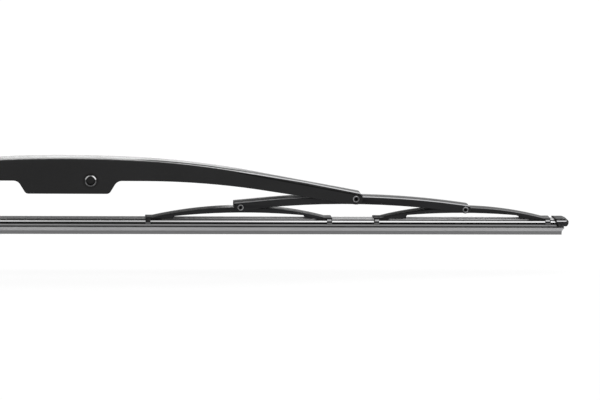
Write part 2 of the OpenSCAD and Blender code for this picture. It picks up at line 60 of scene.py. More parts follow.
# Place of the arm pin's axis, which is the frame's origin, from the blade's middle and its wiping edge
PIN_X, PIN_Z = 14.5, 36.6
SIDES = {"left": -1, "right": 1}
# Name of the attribute that holds where each point of a bending piece lies at rest
PLACE_KEPT = "place_at_rest"


def at(x, y, z):
    """A point given in millimetres from the blade's middle and its wiping edge, in the frame."""
    return Vector(((x - PIN_X) * MM, y * MM, (z - PIN_Z) * MM))


# Camera, as in the photograph: a long lens level with the blade's left half, looking 14 degrees down

LENS, SENSOR_WIDTH, LENS_SHIFT = 112.66, 36, 0.165
CAMERA_FROM = at(0, -1164.4, 315.3)
CAMERA_YAW = math.radians(4.19)
CAMERA_PITCH = math.radians(-14.075)
CAMERA_ROLL = math.radians(1.176)


def add_camera():
    forward = Vector((math.sin(CAMERA_YAW) * math.cos(CAMERA_PITCH),
                      math.cos(CAMERA_YAW) * math.cos(CAMERA_PITCH), math.sin(CAMERA_PITCH)))
    level = forward.cross(Vector((0, 0, 1))).normalized()
    upright = level.cross(forward)
    right = level * math.cos(CAMERA_ROLL) + upright * math.sin(CAMERA_ROLL)
    up = upright * math.cos(CAMERA_ROLL) - level * math.sin(CAMERA_ROLL)
    lens = bpy.data.cameras.new("photo_camera")
    lens.sensor_width, lens.lens, lens.shift_x = SENSOR_WIDTH, LENS, LENS_SHIFT
    lens.clip_start, lens.clip_end = 0.01, 30
    camera = bpy.data.objects.new("photo_camera", lens)
    bpy.context.scene.collection.objects.link(camera)
    turn = Matrix((right, up, -forward)).transposed().to_4x4()
    camera.matrix_world = Matrix.Translation(CAMERA_FROM) @ turn
    bpy.context.scene.camera = camera


# Node trees: a socket with arithmetic, and one recipe for each finish and each repeated or drawn-out shape

class Value:
    """A number at a socket of a recipe's node tree. Arithmetic on it adds Math nodes."""

    def __init__(self, recipe, socket):
        self.recipe, self.socket = recipe, socket

    def maths(self, operation, *values):
        return self.recipe.node("ShaderNodeMath", {"operation": operation}, dict(enumerate(values)))

    def __add__(self, other):
        return self.maths("ADD", self, other)

    __radd__ = __add__

    def __sub__(self, other):
        return self.maths("SUBTRACT", self, other)

    def __rsub__(self, other):
        return self.maths("SUBTRACT", other, self)

    def __mul__(self, other):
        return self.maths("MULTIPLY", self, other)

    __rmul__ = __mul__

    def __lt__(self, other):
        return self.maths("LESS_THAN", self, other)

    def __gt__(self, other):
        return self.maths("GREATER_THAN", self, other)

    def power(self, other):
        return self.maths("POWER", self, other)

    def larger(self, other):
        return self.maths("MAXIMUM", self, other)

    def size(self):
        return self.maths("ABSOLUTE", self)

    def sign(self):
        return self.maths("SIGN", self)


class Recipe:
    """A node tree that is written node by node: a node's settings come first, then its sockets."""

    def node(self, kind, settings=None, sockets=None, out=0):
        node = self.tree.nodes.new(kind)
        for name, value in (settings or {}).items():
            if name == "stops":
                self.set_stops(node.color_ramp, value)
            else:
                setattr(node, name, value)
        for name, value in (sockets or {}).items():
            self.feed(node.inputs[name], value)
        return Value(self, node.outputs[out])

    def set_stops(self, ramp, stops):
        while len(ramp.elements) < len(stops):
            ramp.elements.new(0.5)
        for element, (place, tone) in zip(ramp.elements, stops):
            element.position = place
            element.color = (*tone, 1) if isinstance(tone, tuple) else (tone, tone, tone, 1)

    def feed(self, socket, value):
        if isinstance(value, Value):
            self.tree.links.new(value.socket, socket)
        elif isinstance(value, tuple) and len(value) == 3 and socket.type == "RGBA":
            socket.default_value = (*value, 1)
        else:
            socket.default_value = value


class Finish(Recipe):
    """A material, with plain values on its Principled shader and patterns that feed it.

    Its patterns are laid out on the piece's own place, or on the place kept before bending if the piece bends.
    """

    def __init__(self, name, bends=False, **plain):
        self.bends = bends
        self.material = bpy.data.materials.new(name)
        self.material.use_nodes = True
        self.tree = self.material.node_tree
        self.shader = self.tree.nodes["Principled BSDF"]
        self.set(**plain)

    def set(self, **sockets):
        for name, value in sockets.items():
            self.feed(self.shader.inputs[name.replace("_", " ")], value)

    def spot(self):
        if self.bends:
            return self.node("ShaderNodeAttribute", {"attribute_name": PLACE_KEPT}, out="Vector")
        return self.node("ShaderNodeTexCoord", out="Object")

    def noise(self, scale, detail=3, stretch=(1, 1, 1), roughness=0.55):
        """Noise in object coordinates, in metres, stretched for a pattern that runs along the blade."""
        place = self.node("ShaderNodeMapping", {}, {"Vector": self.spot(), "Scale": stretch})
        return self.node("ShaderNodeTexNoise", {}, {
            "Vector": place, "Scale": scale, "Detail": detail, "Roughness": roughness})

    def ramp(self, value, *stops):
        return self.node("ShaderNodeValToRGB", {"stops": stops}, {"Fac": value})

    def mix(self, share, first, second):
        return self.node("ShaderNodeMix", {"data_type": "RGBA"}, {0: share, 6: first, 7: second}, out=2)

    def bump(self, height, distance, strength=1.0):
        self.set(Normal=self.node("ShaderNodeBump", {}, {
            "Height": height, "Distance": distance, "Strength": strength}))

    def place(self, axis):
        """The place along one axis of the frame, in metres."""
        return self.node("ShaderNodeSeparateXYZ", {}, {"Vector": self.spot()}, out=axis)

    def rise(self, value, low, high):
        """0 where a value is below one limit, 1 where it is above another."""
        return self.node("ShaderNodeMapRange", {}, {"Value": value, "From Min": low, "From Max": high})

    def passed(self, distance, low, high):
        """0 where a distance is below one limit, 1 where it is above another, both in millimetres."""
        return self.rise(distance, low * MM, high * MM)

    def above(self, low, high):
        """0 below one height over the wiping edge, 1 above another, both in millimetres."""
        return self.passed(self.place(Z), low - PIN_Z, high - PIN_Z)

    def band(self, low, high, soft=0.06):
        """1 between two heights over the wiping edge, given in millimetres, and 0 outside them."""
        return self.above(low - soft, low + soft) - self.above(high - soft, high + soft)

    def away_from_middle(self):
        """The distance along the blade from its middle, in metres."""
        return (self.place(X) + PIN_X * MM).size()

    def along(self, lengths, soft):
        """1 in some lengths of the blade, given as distances from its middle in millimetres, and 0 outside them."""
        out = self.away_from_middle()
        return sum(self.passed(out, low - soft, low + soft) - self.passed(out, high - soft, high + soft)
                   for low, high in lengths)

    def reach(self, axes, near, far):
        """0 within one distance of the frame's origin, measured along the given axes, 1 beyond another, in mm."""
        flat = self.node("ShaderNodeVectorMath", {"operation": "MULTIPLY"}, {0: self.spot(), 1: axes})
        away = self.node("ShaderNodeVectorMath", {"operation": "LENGTH"}, {0: flat}, out="Value")
        return self.passed(away, near, far)

    def facing(self, axis):
        """How far a face looks along an axis: 1 if straight along it, 0 if across it, -1 if against it."""
        normal = self.node("ShaderNodeTexCoord", out="Normal")
        return self.node("ShaderNodeSeparateXYZ", {}, {"Vector": normal}, out=axis)

    def facing_up(self):
        return self.facing(Z).larger(0.0)

    def on_flat_top(self):
        """1 where a face looks up, 0 where it leans well away from that."""
        return self.rise(self.facing(Z), 0.6, 0.8)


class Pattern(Recipe):
    """A Geometry Nodes tree with named inputs, run on a mesh that holds an outline."""

    def __init__(self, name, **inputs):
        self.tree = bpy.data.node_groups.new(name, "GeometryNodeTree")
        sockets = self.tree.interface
        sockets.new_socket("Outline", in_out="INPUT", socket_type="NodeSocketGeometry")
        sockets.new_socket("Piece", in_out="OUTPUT", socket_type="NodeSocketGeometry")
        self.keys = {label: sockets.new_socket(label.replace("_", " "), in_out="INPUT",
                                               socket_type=f"NodeSocket{kind}").identifier
                     for label, kind in inputs.items()}
        self.start = self.tree.nodes.new("NodeGroupInput")

    def given(self, label):
        return Value(self, self.start.outputs[label.replace("_", " ")])

    def outline(self):
        return self.node("GeometryNodeMeshToCurve", {}, {"Mesh": self.given("Outline")})

    def swept(self, path, caps):
        """The outline swept along a path, its own upright kept."""
        upright = self.node("GeometryNodeSetCurveNormal", {"mode": "Z_UP"}, {0: path})
        return self.node("GeometryNodeCurveToMesh", {}, {
            "Curve": upright, "Profile Curve": self.outline(), "Fill Caps": caps})

    def ends(self, geometry):
        real = self.node("GeometryNodeRealizeInstances", {}, {0: geometry})
        out = self.tree.nodes.new("NodeGroupOutput")
        self.feed(out.inputs[0], real)

    def made(self, name, points, closed, **values):
        """The tree's result for an outline of points in millimetres, as a plain mesh with outward faces."""
        count = len(points)
        drawn = bpy.data.meshes.new(name)
        drawn.from_pydata([(x * MM, -y * MM, 0) for x, y in points],
                          [(i, (i + 1) % count) for i in range(count if closed else count - 1)], [])
        piece = bpy.data.objects.new(name, drawn)
        bpy.context.scene.collection.objects.link(piece)
        made_by = piece.modifiers.new("pattern", "NODES")
        made_by.node_group = self.tree
        for label, value in values.items():
            made_by[self.keys[label]] = value
        baked(piece)
        merged(piece.data)
        return piece


def turned_pattern():
    """Turned pins and rivets: a half outline spun about its axis, laid across the blade at each of a row of pivots."""
    pattern = Pattern("turned_fastener", First="Vector", Last="Vector", Count="Int", Facets="Int",
                      Hollow_radius="Float", Steel="Material", Inside="Material")
    ring = pattern.node("GeometryNodeCurvePrimitiveCircle", {}, {
        "Resolution": pattern.given("Facets"), "Radius": 1e-7})
    spun = pattern.swept(ring, False)
    closed = pattern.node("GeometryNodeMergeByDistance", {}, {"Geometry": spun, "Distance": 1e-6})
    steel = pattern.node("GeometryNodeSetMaterial", {}, {"Geometry": closed, "Material": pattern.given("Steel")})
    spot = pattern.node("GeometryNodeInputPosition")
    height = pattern.node("ShaderNodeSeparateXYZ", {}, {"Vector": spot}, out=Z)
    level = pattern.node("ShaderNodeVectorMath", {"operation": "MULTIPLY"}, {0: spot, 1: (1, 1, 0)})
    radius = pattern.node("ShaderNodeVectorMath", {"operation": "LENGTH"}, {0: level}, out="Value")
    inside = (radius < pattern.given("Hollow_radius")) * (height > 0.0)
    both = pattern.node("GeometryNodeSetMaterial", {}, {
        "Geometry": steel, "Selection": inside, "Material": pattern.given("Inside")})
    pivots = pattern.node("GeometryNodeMeshLine", {"mode": "END_POINTS"}, {
        "Count": pattern.given("Count"), "Start Location": pattern.given("First"), "Offset": pattern.given("Last")})
    pattern.ends(pattern.node("GeometryNodeInstanceOnPoints", {}, {
        "Points": pivots, "Instance": both, "Rotation": (math.pi / 2, 0, 0)}))
    return pattern


def drawn_pattern():
    """Drawn-out lengths of the squeegee and its strips: a closed outline swept along the blade, its end cut hollow."""
    pattern = Pattern("drawn_length", From="Vector", To="Vector", Sections="Int",
                      Cut_centre="Vector", Cut_radius="Float", Finish="Material")
    line = pattern.node("GeometryNodeCurvePrimitiveLine", {}, {
        "Start": pattern.given("From"), "End": pattern.given("To")})
    path = pattern.node("GeometryNodeResampleCurve", {}, {"Curve": line, "Count": pattern.given("Sections")})
    whole = pattern.swept(path, True)
    tool = pattern.node("GeometryNodeMeshCylinder", {}, {
        "Vertices": 160, "Radius": pattern.given("Cut_radius"), "Depth": 30 * MM})
    placed = pattern.node("GeometryNodeTransform", {}, {
        "Geometry": tool, "Translation": pattern.given("Cut_centre"), "Rotation": (math.pi / 2, 0, 0)})
    cut = pattern.node("GeometryNodeMeshBoolean", {"operation": "DIFFERENCE", "solver": "EXACT"}, {
        "Mesh 1": whole, "Mesh 2": placed})
    pattern.ends(pattern.node("GeometryNodeSetMaterial", {}, {"Geometry": cut, "Material": pattern.given("Finish")}))
    return pattern


# Finishes

# Axes along which a distance from the frame's origin, on the arm pin's axis, is measured
ALONG, ACROSS, IN_SIDE_VIEW = (1, 0, 0), (0, 1, 0), (1, 0, 1)


def grey(tone, blue=0.0):
    """A grey, with a little more blue if wanted."""
    return tone, tone, tone + blue


# Distances from the blade's middle, in millimetres: the claws' shoulders with painted highlights, the rubber's head
# with painted shade under the yokes' walls beside them, and the bridge's back that is wiped matt in its front half
CLAW_SHOULDERS = [(166.6, 169.3), (197.6, 200.3), (309.4, 312.1)]
CLAW_SHADES = [(51, 60), (159, 168.5), (198.5, 207), (298, 311.5)]
WIPED_LENGTHS = [(50, 125)]
# Distances from the arm pin's axis, in millimetres, between which the edges' paling and the fold highlights set in,
# and the painted shade round the pin ends
PALING_SETS_IN, PIN_SHADE_ENDS = (45, 110), (4.8, 5.6)
# How glossy the paint is, and how glossy where it is dull
GLOSS, LOW_GLOSS = 0.23, 0.12
# Darkest tone of the paint where it is fresh, dull, and thin on the edges
FRESH, FRESH_DULL, FRESH_ON_EDGES = 0.0045, 0.009, 0.02
# How far the painted highlight beside a fold reaches round it: the faces' leans, from 0 for none to 1, between
# which it fades, on the bridge and on dull channels
BRIDGE_LEANS, DULL_LEANS = (0.28, 0.42), (0.45, 0.60)
# The painted shade along the bridge's front fold, in millimetres: the distances from the blade's middle between
# which it widens and then narrows, by how much, and how far from the middle plane it would start if it had no width
MARGIN_WIDENS, MARGIN_GAIN = (104, 148), 4.3
MARGIN_NARROWS, MARGIN_LOSS = (155, 185), 1.8
MARGIN_DARK = (6.6, 6.9)
# How softly the painted highlights beside the folds set in, in millimetres
FOLD_SOFT = 0.8
# Heights over the wiping edge, in millimetres: the claws' shoulders with their painted highlights, their fingers
# beside the strips, and the limit above which a yoke's back lies in painted shade. The shoulders lie further from the
# middle plane than the last pair
SHOULDER_HEIGHTS, FINGER_HEIGHTS, BACK_HEIGHTS = (10.1, 11.0), (7.9, 9.1), (12.2, 12.6)
SHOULDERS_OUTSIDE = (3.6, 3.8)
# Tones of the paint: painted shade, paler edges that are partly wear and partly painted highlight, painted
# highlights beside folds and on shoulders, and dust
PAINTED_SHADE, PALE_EDGE, DUST = grey(0.002), grey(0.16, 0.005), (0.45, 0.44, 0.42)
FOLD_HIGHLIGHT, SHOULDER_HIGHLIGHT, FINGER = grey(0.42, 0.01), grey(0.44, 0.01), grey(0.10, 0.002)


def bridge_highlight_and_shade(finish, fold_from):
    """Painted highlights beside the bridge's folds, painted shade along its front margin, and how matt it is there.

    Towards the blade's ends the front highlight leaves the fold, and the painted shade lies in front of it.
    Nearer the middle, the front half of the back is wiped matt.
    """
    across, out = finish.place(Y), finish.away_from_middle()
    margin = finish.passed(out, *MARGIN_WIDENS) * MARGIN_GAIN - finish.passed(out, *MARGIN_NARROWS) * MARGIN_LOSS
    forwards = margin * MM - across
    # Painted highlight beside the folds
    beside = sum(finish.passed(side, fold_from, fold_from + FOLD_SOFT) for side in (across, forwards))
    beside = beside * (1 - finish.rise(finish.facing(Y).size(), *BRIDGE_LEANS))
    # Painted shade along the bridge's front margin
    dark = finish.passed(forwards, *MARGIN_DARK) * finish.rise(finish.facing(Z), 0.15, 0.35)
    front_half = 1 - finish.passed(across, -1.6, -0.6)
    wiped = front_half * (1 - beside) * finish.on_flat_top() * finish.along(WIPED_LENGTHS, 10)
    return beside, dark, wiped * 0.5 + dark * 0.6


def black_paint(name, on_edges, highlight_strength=0.0, fold_from=0.0, dull=False, claws=False):
    """Semi-gloss black coat on sheet steel: fine orange peel, faint dust on top, a lighter tone on edges that is
    partly wear and partly painted highlight.

    It carries painted highlights beside the upper folds towards the blade's ends, and painted shade round the arm
    pin. Cut ends are matt, and so are dull backs where they rise towards a tip. On the yokes, the claws' shoulders
    carry painted highlights and the front half of the rising backs lies in painted shade.
    """
    finish = Finish(name, Specular_IOR_Level=LOW_GLOSS if dull else GLOSS)
    patches = finish.noise(45, 4)
    specks = finish.ramp(finish.noise(2600, 2), (0.62, 0.0), (0.72, 1.0))
    dust = finish.ramp(finish.noise(140, 5, roughness=0.7), (0.45, 0.0), (0.75, 1.0)) * finish.facing_up() * 0.03
    far = finish.reach(ALONG, *PALING_SETS_IN)
    fresh, paler_edges = (FRESH_ON_EDGES, far * 0.6 + 0.25) if on_edges else (FRESH_DULL if dull else FRESH, 0.0)
    tone = finish.ramp(patches, (0.3, (fresh, fresh, fresh * 1.06)), (0.7, (fresh * 1.6, fresh * 1.6, fresh * 1.7)))
    cut_end = finish.rise(finish.facing(X).size(), 0.5, 0.8)
    # Paler edges: partly wear and partly painted highlight, stronger away from the pin, left off the cut ends
    tone = finish.mix(specks * 0.06 + (1 - cut_end) * paler_edges, tone, PALE_EDGE)
    # Painted shade round the arm pin
    tone = finish.mix(finish.reach(IN_SIDE_VIEW, *PIN_SHADE_ENDS), PAINTED_SHADE, tone)
    if dull:
        outwards = (finish.place(X) + PIN_X * MM).sign()
        rising = finish.rise(finish.facing(X) * outwards * -1.0, 0.02, 0.08)
        beside = finish.passed(finish.place(Y).size(), fold_from, fold_from + FOLD_SOFT)
        beside = beside * (1 - finish.rise(finish.facing(Y).size(), *DULL_LEANS)) * (1 - rising * 0.2)
        matt = cut_end.larger(rising) * 0.4
    else:
        beside, dark, matt = bridge_highlight_and_shade(finish, fold_from)
        matt = cut_end * 0.4 + matt
    # Painted highlight beside the upper folds, towards the blade's ends
    tone = finish.mix(beside * far * finish.on_flat_top() * highlight_strength, tone, FOLD_HIGHLIGHT)
    # Painted shade along the bridge's front margin
    if not dull:
        tone = finish.mix(dark, tone, PAINTED_SHADE)
    if claws:
        # Painted highlights on the claws' shoulders
        shoulders = finish.band(*SHOULDER_HEIGHTS) * finish.reach(ACROSS, *SHOULDERS_OUTSIDE)
        tone = finish.mix(shoulders * finish.along(CLAW_SHOULDERS, 0.1), tone, SHOULDER_HIGHLIGHT)
        tone = finish.mix(finish.band(*FINGER_HEIGHTS), tone, FINGER)
        front_half = 1 - finish.passed(finish.place(Y), -0.5, 0.5)
        shaded = front_half * rising * finish.on_flat_top() * finish.above(*BACK_HEIGHTS)
        tone = finish.mix(shaded * 0.85, tone, PAINTED_SHADE)
    finish.set(Base_Color=finish.mix(dust, tone, DUST), Roughness=patches * 0.16 + 0.24 + dust + matt)
    finish.bump(finish.noise(1900, 2) + finish.noise(420, 2) * 0.8, 0.00003, 0.35)
    return finish.material


# The painted highlights on the arm pin's shoulders, in millimetres: from which height over its axis, how far from its
# top, and the places along the blade between which the right one's full highlight sets in
SHINE_HEIGHT, SHINE_BESIDE_TOP, SHINE_GROWS = (0.6, 1.5), (0.6, 1.7), (-1.2, 1.2)


def turned_steel(name, dull, highlight_tone, is_pin):
    """Zinc-plated steel, dull and oily in patches, with painted highlights in patches where it looks up.

    The pin's painted highlights lie on its two shoulders only, and are weaker on the left one.
    """
    finish = Finish(name, Metallic=1.0)
    cloud = finish.noise(1100, 4)
    if is_pin:
        # Painted highlights on the pin's two shoulders
        shoulders = finish.passed(finish.place(Z), *SHINE_HEIGHT) * finish.reach(ALONG, *SHINE_BESIDE_TOP)
        painted_highlight = shoulders * (finish.passed(finish.place(X), *SHINE_GROWS) * 0.65 + 0.35)
    else:
        # Painted highlights where the rivets look up
        painted_highlight = finish.facing_up() * finish.ramp(finish.noise(620, 1), (0.44, 0.15), (0.56, 1.0))
    oily = finish.ramp(finish.noise(480, 2), (0.4, 0.0), (0.6, 1.0))
    tone = finish.mix(oily, tuple(c * 0.5 for c in dull), tuple(c * 1.7 for c in dull))
    finish.set(Base_Color=finish.mix(painted_highlight.power(0.7), tone, highlight_tone), Roughness=cloud * 0.25 + 0.20)
    finish.bump(finish.noise(3500, 2), 0.00002, 0.3)
    return finish.material


def hollow_steel():
    """The nearly black inside of a rivet's hollow end."""
    finish = Finish("hollow_steel", Specular_IOR_Level=0.2)
    cloud = finish.noise(1500, 3)
    finish.set(Base_Color=finish.ramp(cloud, (0.3, grey(0.004)), (0.8, grey(0.02))), Roughness=cloud * 0.2 + 0.5)
    finish.bump(cloud, 0.00004, 0.4)
    return finish.material


def strip_steel():
    """Bright stainless spring steel with rolling lines along the strip, duller towards the blade's middle."""
    finish = Finish("strip_steel", bends=True, Metallic=1.0)
    lines = finish.noise(3000, 3, stretch=(0.01, 1, 1))
    tone = finish.ramp(finish.noise(30, 3), (0.3, grey(0.86, 0.01)), (0.7, grey(0.97, 0.01)))
    tone = finish.mix(finish.reach(ALONG, 20, 130), grey(0.45, 0.005), tone)
    finish.set(Base_Color=tone, Roughness=lines * 0.16 + 0.14)
    finish.bump(lines, 0.00001, 0.3)
    return finish.material


# Heights of the squeegee's parts over the wiping edge, in millimetres, of the limit between its head's sides and
# top, and the distances from the middle plane between which the top's painted highlights along its edges set in
LIP, NECK, FLANGE, WEB, HEAD = (-1, 2.45), (5.3, 6.4), (6.45, 7.6), (7.6, 10.05), (10.05, 12)
HEAD_TOP, HEAD_EDGES = (10.78, 10.9), (0.8, 1.1)


def squeegee_finish():
    """Grey extruded rubber: die lines along it, a dusty bloom, a darker coat on the lip, dark shadowed grooves.

    The head's top carries painted highlights along both edges, stronger towards the blade's ends, painted shade
    towards the blade's middle under the bridge, and painted shade under the yokes' walls beside the claws.
    """
    finish = Finish("squeegee_rubber", bends=True, Specular_IOR_Level=0.15)
    die_lines = finish.noise(2200, 3, stretch=(0.004, 1, 1))
    bloom = finish.noise(38, 5, stretch=(0.4, 1, 1), roughness=0.65)
    body = finish.ramp(bloom * 0.6 + die_lines * 0.4, (0.35, grey(0.31, 0.005)), (0.65, grey(0.38, 0.005)))
    tone = finish.mix(finish.band(*LIP, 0.12), body, grey(0.165, 0.003))
    tone = finish.mix(finish.band(*FLANGE), tone, grey(0.22, 0.003))
    tone = finish.mix(finish.band(*NECK), tone, grey(0.05))
    tone = finish.mix(finish.band(*WEB), tone, grey(0.003))
    edges = finish.reach(ACROSS, *HEAD_EDGES) * finish.above(*HEAD_TOP)
    # Painted highlights along the head top's edges, and painted shade towards the blade's middle under the bridge
    head = finish.mix(finish.reach(ALONG, 50, 150), finish.mix(edges, grey(0.05), grey(0.10, 0.002)),
                      finish.mix(edges, grey(0.16, 0.003), grey(0.66, 0.005)))
    # Painted shade on the head beside the claws, under the yokes' walls
    head = finish.mix(finish.along(CLAW_SHADES, 1.0) * 0.92, head, grey(0.004))
    tone = finish.mix(finish.band(*HEAD), tone, head)
    finish.set(Base_Color=tone, Roughness=bloom * 0.2 + 0.62)
    finish.bump(die_lines + finish.noise(1500, 3) * 0.5, 0.00003, 0.4)
    return finish.material


def bush_nylon():
    finish = Finish("bush_nylon", Specular_IOR_Level=0.4)
    cloud = finish.noise(700, 3)
    finish.set(Base_Color=finish.ramp(cloud, (0.3, grey(0.05, 0.002)), (0.7, grey(0.09, 0.002))),
               Roughness=cloud * 0.15 + 0.4)
    finish.bump(finish.noise(2500, 2), 0.00002, 0.2)
    return finish.material


# The end caps, in millimetres: their mouths' distance from the blade's middle at the top, that height, and the rake
# down from there, the band of painted shade behind the mouth, and the heights of the ledge's painted highlight
CAP_START, CAP_TOP, CAP_RAKE = 315.0, 11.75, 0.4
CAP_RIM, LEDGE_HEIGHTS = (1.0, 1.2), (10.1, 10.55)


def cap_plastic():
    """Moulded black plastic with a spark-eroded grain.

    Its pale grain is strongest where it looks up, as a painted highlight. Its ledge carries a painted highlight, and
    its mouth painted shade and dullness.
    """
    finish = Finish("cap_plastic", Specular_IOR_Level=0.2)
    grain = finish.noise(1100, 3, roughness=0.7)
    up = finish.facing_up()
    # Pale grain, strongest where it looks up: painted highlight
    tone = finish.mix(finish.ramp(grain, (0.46, 0.0), (0.66, 1.0)) * (up * 0.75 + 0.25),
                      grey(0.006, 0.0003), grey(0.13, 0.004))
    # Painted highlight on the ledge
    tone = finish.mix(finish.band(*LEDGE_HEIGHTS) * finish.rise(up, 0.3, 0.6), tone, grey(0.85, 0.01))
    from_mouth = (finish.away_from_middle() - CAP_START * MM
                  + (finish.place(Z) - (CAP_TOP - PIN_Z) * MM) * CAP_RAKE)
    # Painted shade round the mouth
    rim = 1 - finish.passed(from_mouth, *CAP_RIM)
    finish.set(Base_Color=finish.mix(rim, tone, grey(0.001)), Roughness=grain * 0.25 + 0.4 + rim * 0.3)
    finish.bump(grain, 0.00008, 0.5)
    return finish.material


# Stage: a pale floor under the blade, a white studio round it

def seen_plainly(recipe):
    """1 for the rays that the eye, mirrors and glass follow, 0 for the light that falls on things."""
    path = recipe.tree.nodes.new("ShaderNodeLightPath")
    rays = [Value(recipe, path.outputs[f"Is {kind} Ray"]) for kind in ("Camera", "Glossy", "Transmission")]
    return rays[0].larger(rays[1]).larger(rays[2])


class Studio(Recipe):
    """The white surroundings, with the strength of the light that they give."""

    def __init__(self, light):
        world = bpy.data.worlds.new("studio")
        bpy.context.scene.world = world
        world.use_nodes = True
        self.tree = world.node_tree
        falls = self.tree.nodes["Background"]
        falls.inputs["Color"].default_value = (1, 1, 1, 1)
        falls.inputs["Strength"].default_value = light
        shown = self.node("ShaderNodeBackground", {}, {"Color": (1, 1, 1), "Strength": 1.0})
        both = self.node("ShaderNodeMixShader", {}, {
            0: seen_plainly(self), 1: Value(self, falls.outputs[0]), 2: shown})
        self.feed(self.tree.nodes["World Output"].inputs["Surface"], both)


# The floor lies so far under the wiping edge that no pose of the joints dips into it, in millimetres. It reaches so
# far to each side, in metres, and this share of what is seen of it is plain white
FLOOR_DROP, FLOOR_REACH, FLOOR_GLOW = 20, 4.0, 0.85


def add_floor():
    floor_mesh = bpy.data.meshes.new("studio_floor")
    corners = [(x * FLOOR_REACH, y * FLOOR_REACH, at(0, 0, -FLOOR_DROP).z)
               for x, y in ((-1, -1), (1, -1), (1, 1), (-1, 1))]
    floor_mesh.from_pydata(corners, [], [(0, 1, 2, 3)])
    floor = bpy.data.objects.new("studio_floor", floor_mesh)
    bpy.context.scene.collection.objects.link(floor)
    finish = Finish("studio_floor", Roughness=0.9, Specular_IOR_Level=0.1)
    finish.set(Base_Color=finish.ramp(finish.noise(60, 3), (0.3, grey(0.90)), (0.7, grey(0.92))))
    glow = finish.node("ShaderNodeEmission", {}, {"Color": (1, 1, 1)})
    both = finish.node("ShaderNodeMixShader", {}, {
        0: seen_plainly(finish) * FLOOR_GLOW, 1: Value(finish, finish.shader.outputs[0]), 2: glow})
    finish.feed(finish.tree.nodes["Material Output"].inputs["Surface"], both)
    floor_mesh.materials.append(finish.material)


def add_softbox(name, place, aim, size, power):
    lamp = bpy.data.lights.new(name, "AREA")
    lamp.shape = "RECTANGLE"
    lamp.size, lamp.size_y = size
    lamp.energy = power
    softbox = bpy.data.objects.new(name, lamp)
    bpy.context.scene.collection.objects.link(softbox)
    softbox.location = place
    softbox.rotation_mode = "QUATERNION"
    softbox.rotation_quaternion = (Vector(aim) - Vector(place)).to_track_quat("-Z", "Y")


def add_lights():
    """A long softbox overhead and behind, which draws bright lines along the folds, and a low one behind the blade,
    whose reflection whitens the bridge's crown."""
    add_softbox("softbox_top", (0.1, 0.9, 1.3), (0.1, 0.0, 0.0), (2.4, 0.35), 12)
    add_softbox("softbox_back", (-0.03, 2.2, 0.56), (0.0, 0.0, 0.0), (0.985, 0.5), 8)


# Pieces

# Sizes in millimetres: the pressed sheets' rounded edges, the grid that the end caps are built up on, and the
# distances at which points of the CAD's sheets and of turned or drawn pieces count as one
EDGE_RADIUS, CAP_GRID = 0.26, 0.16
ONE_POINT_CAD, ONE_POINT_DRAWN = 0.002, 0.0005
# Angles in degrees: faces of the CAD's sheets that count as one, edges of theirs that are rounded, and edges of
# sheets, turned pieces and drawn lengths that look smooth
ONE_FACE, ROUNDED = 0.4, 38
SMOOTH_SHEET, SMOOTH_TURNED, SMOOTH_DRAWN = 34, 40, 35


def object_of(mesh, name, *finishes):
    piece = bpy.data.objects.new(name, mesh)
    bpy.context.scene.collection.objects.link(piece)
    mesh.materials.clear()
    for finish in finishes:
        mesh.materials.append(finish)
    return piece


def baked(piece):
    """The piece with its modifiers made real, as a plain mesh."""
    bpy.context.view_layer.update()
    graph = bpy.context.evaluated_depsgraph_get()
    mesh = bpy.data.meshes.new_from_object(piece.evaluated_get(graph), depsgraph=graph)
    piece.modifiers.clear()
    piece.data = mesh


def merged(mesh):
    """Merges a closed shell's doubles and turns its faces outwards."""
    work = bmesh.new()
    work.from_mesh(mesh)
    bmesh.ops.remove_doubles(work, verts=work.verts, dist=ONE_POINT_DRAWN * MM)
    bmesh.ops.recalc_face_normals(work, faces=work.faces)
    work.to_mesh(mesh)
    work.free()


def smooth_by_angle(mesh, degrees):
    """Smooth shading, with edges sharper than the angle kept crisp."""
    work = bmesh.new()
    work.from_mesh(mesh)
    limit = math.radians(degrees)
    for face in work.faces:
        face.smooth = True
    for edge in work.edges:
        edge.smooth = len(edge.link_faces) == 2 and edge.calc_face_angle(0) < limit
    work.to_mesh(mesh)
    work.free()


def pressed_copy(node, body, finish, edge_finish):
    """A CAD solid as a clean shell with rounded edges, on the body that its node rides on."""
    mesh = frame["nodes"][node].data.copy()
    work = bmesh.new()
    work.from_mesh(mesh)
    bmesh.ops.remove_doubles(work, verts=work.verts, dist=ONE_POINT_CAD * MM)
    bmesh.ops.dissolve_limit(work, angle_limit=math.radians(ONE_FACE), verts=work.verts, edges=work.edges)
    work.to_mesh(mesh)
    work.free()
    piece = object_of(mesh, f"{node}_piece", finish, edge_finish)
    rounding = piece.modifiers.new("rounded_edges", "BEVEL")
    rounding.width = EDGE_RADIUS * MM
    rounding.segments = 2
    rounding.limit_method = "ANGLE"
    rounding.angle_limit = math.radians(ROUNDED)
    rounding.use_clamp_overlap = True
    rounding.material = 1
    baked(piece)
    smooth_by_angle(piece.data, SMOOTH_SHEET)
    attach(piece, body)
    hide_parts(node)
    return piece


def moulded_copy(node, body, finish):
    """A CAD solid as a shell with softly run-out edges, built up on a fine grid."""
    piece = object_of(frame["nodes"][node].data.copy(), f"{node}_piece", finish)
    shell = piece.modifiers.new("shell", "REMESH")
    shell.mode = "VOXEL"
    shell.voxel_size = CAP_GRID * MM
    ease = piece.modifiers.new("ease", "SMOOTH")
    ease.factor, ease.iterations = 0.5, 3
    baked(piece)
    for face in piece.data.polygons:
        face.use_smooth = True
    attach(piece, body)
    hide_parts(node)
    return piece


